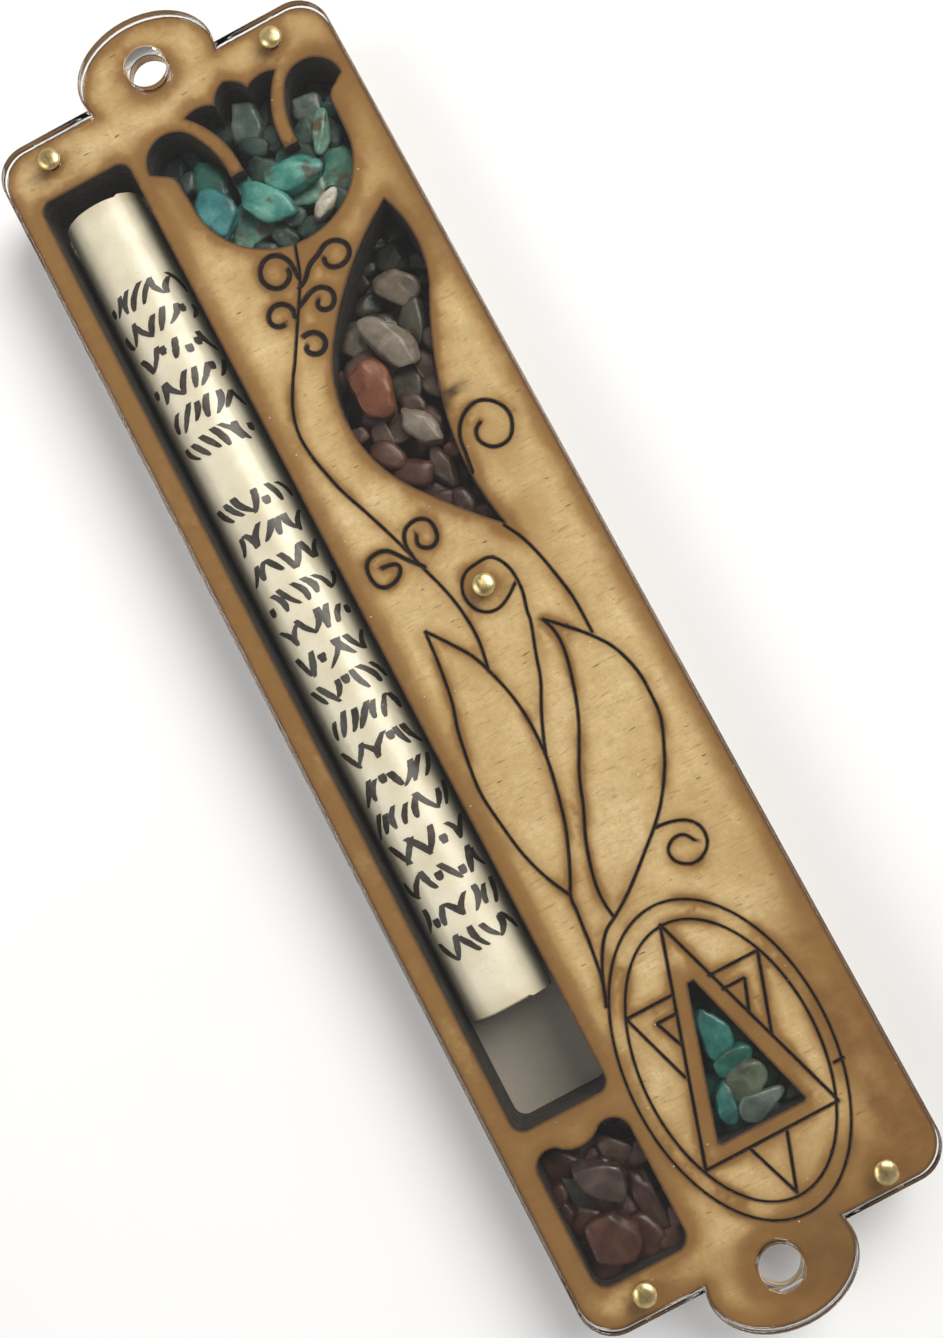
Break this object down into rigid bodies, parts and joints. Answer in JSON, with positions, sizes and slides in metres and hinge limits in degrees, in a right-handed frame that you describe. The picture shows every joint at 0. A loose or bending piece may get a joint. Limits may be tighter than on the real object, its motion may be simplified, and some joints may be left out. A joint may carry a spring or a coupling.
{
  "type": "mezuzah case",
  "caption": "Flat layered wooden mezuzah case with a clear pinned cover, gemstone-chip inlays, a scroll window, two hanging tabs and a sliding rear door.",
  "frame": {"origin": "centre of the overall outline on the flat back face", "axes": "+X across the width, +Y along the length towards the top hanging tab, +Z from the back face to the clear front"},
  "size_m": [0.03, 0.1152, 0.0098],
  "materials": {
    "clear_acrylic": "clear polished acrylic",
    "engraved_birch": "laser-cut birch plywood with scorched lines",
    "charred_birch": "laser-cut birch plywood, charred on its cut edges",
    "grey_plastic": "matt grey sheet",
    "parchment": "smooth rolled parchment",
    "brass": "polished",
    "green_chips": "tumbled, glossy",
    "brown_chips": "tumbled, glossy"
  },
  "bodies": {
    "case": {"front_cover": "clear_acrylic", "front_panel": "engraved_birch", "core_layer_front": "charred_birch", "core_layer_rear": "charred_birch", "back_plate": "grey_plastic", "brass_pins": "brass", "leaf_chip_01": "brown_chips", "leaf_chip_02": "brown_chips", "leaf_chip_03": "brown_chips", "leaf_chip_04": "brown_chips", "leaf_chip_05": "brown_chips", "leaf_chip_06": "brown_chips", "leaf_chip_07": "brown_chips", "leaf_chip_08": "brown_chips", "leaf_chip_09": "brown_chips", "leaf_chip_10": "brown_chips", "leaf_chip_11": "brown_chips", "leaf_chip_12": "brown_chips", "leaf_under_chips": "brown_chips", "triangle_chip_01": "green_chips", "triangle_chip_02": "green_chips", "triangle_chip_03": "green_chips", "triangle_chip_04": "green_chips", "triangle_chip_05": "green_chips", "triangle_chip_06": "green_chips", "triangle_under_chips": "green_chips", "tulip_chip_01": "green_chips", "tulip_chip_02": "green_chips", "tulip_chip_03": "green_chips", "tulip_chip_04": "green_chips", "tulip_chip_05": "green_chips", "tulip_chip_06": "green_chips", "tulip_chip_07": "green_chips", "tulip_chip_08": "green_chips", "tulip_chip_09": "green_chips", "tulip_chip_10": "green_chips", "tulip_chip_11": "green_chips", "tulip_chip_12": "green_chips", "tulip_chip_13": "green_chips", "tulip_chip_14": "green_chips", "tulip_chip_15": "green_chips", "tulip_under_chips": "green_chips", "vessel_chip_01": "brown_chips", "vessel_chip_02": "brown_chips", "vessel_chip_03": "brown_chips", "vessel_chip_04": "brown_chips", "vessel_chip_05": "brown_chips", "vessel_chip_06": "brown_chips", "vessel_under_chips": "brown_chips"},
    "door": {"scroll_door": "grey_plastic"},
    "scroll_roll": {"scroll": "parchment"}
  },
  "joints": [
    {"name": "door_slide", "type": "slide", "parent": "case", "child": "door", "axis": [0, -1, 0], "range_m": [0, 0.097]},
    {"name": "scroll_slide", "type": "slide", "parent": "case", "child": "scroll_roll", "axis": [0, 1, 0], "range_m": [-0.008, 0.0012]}
  ]
}
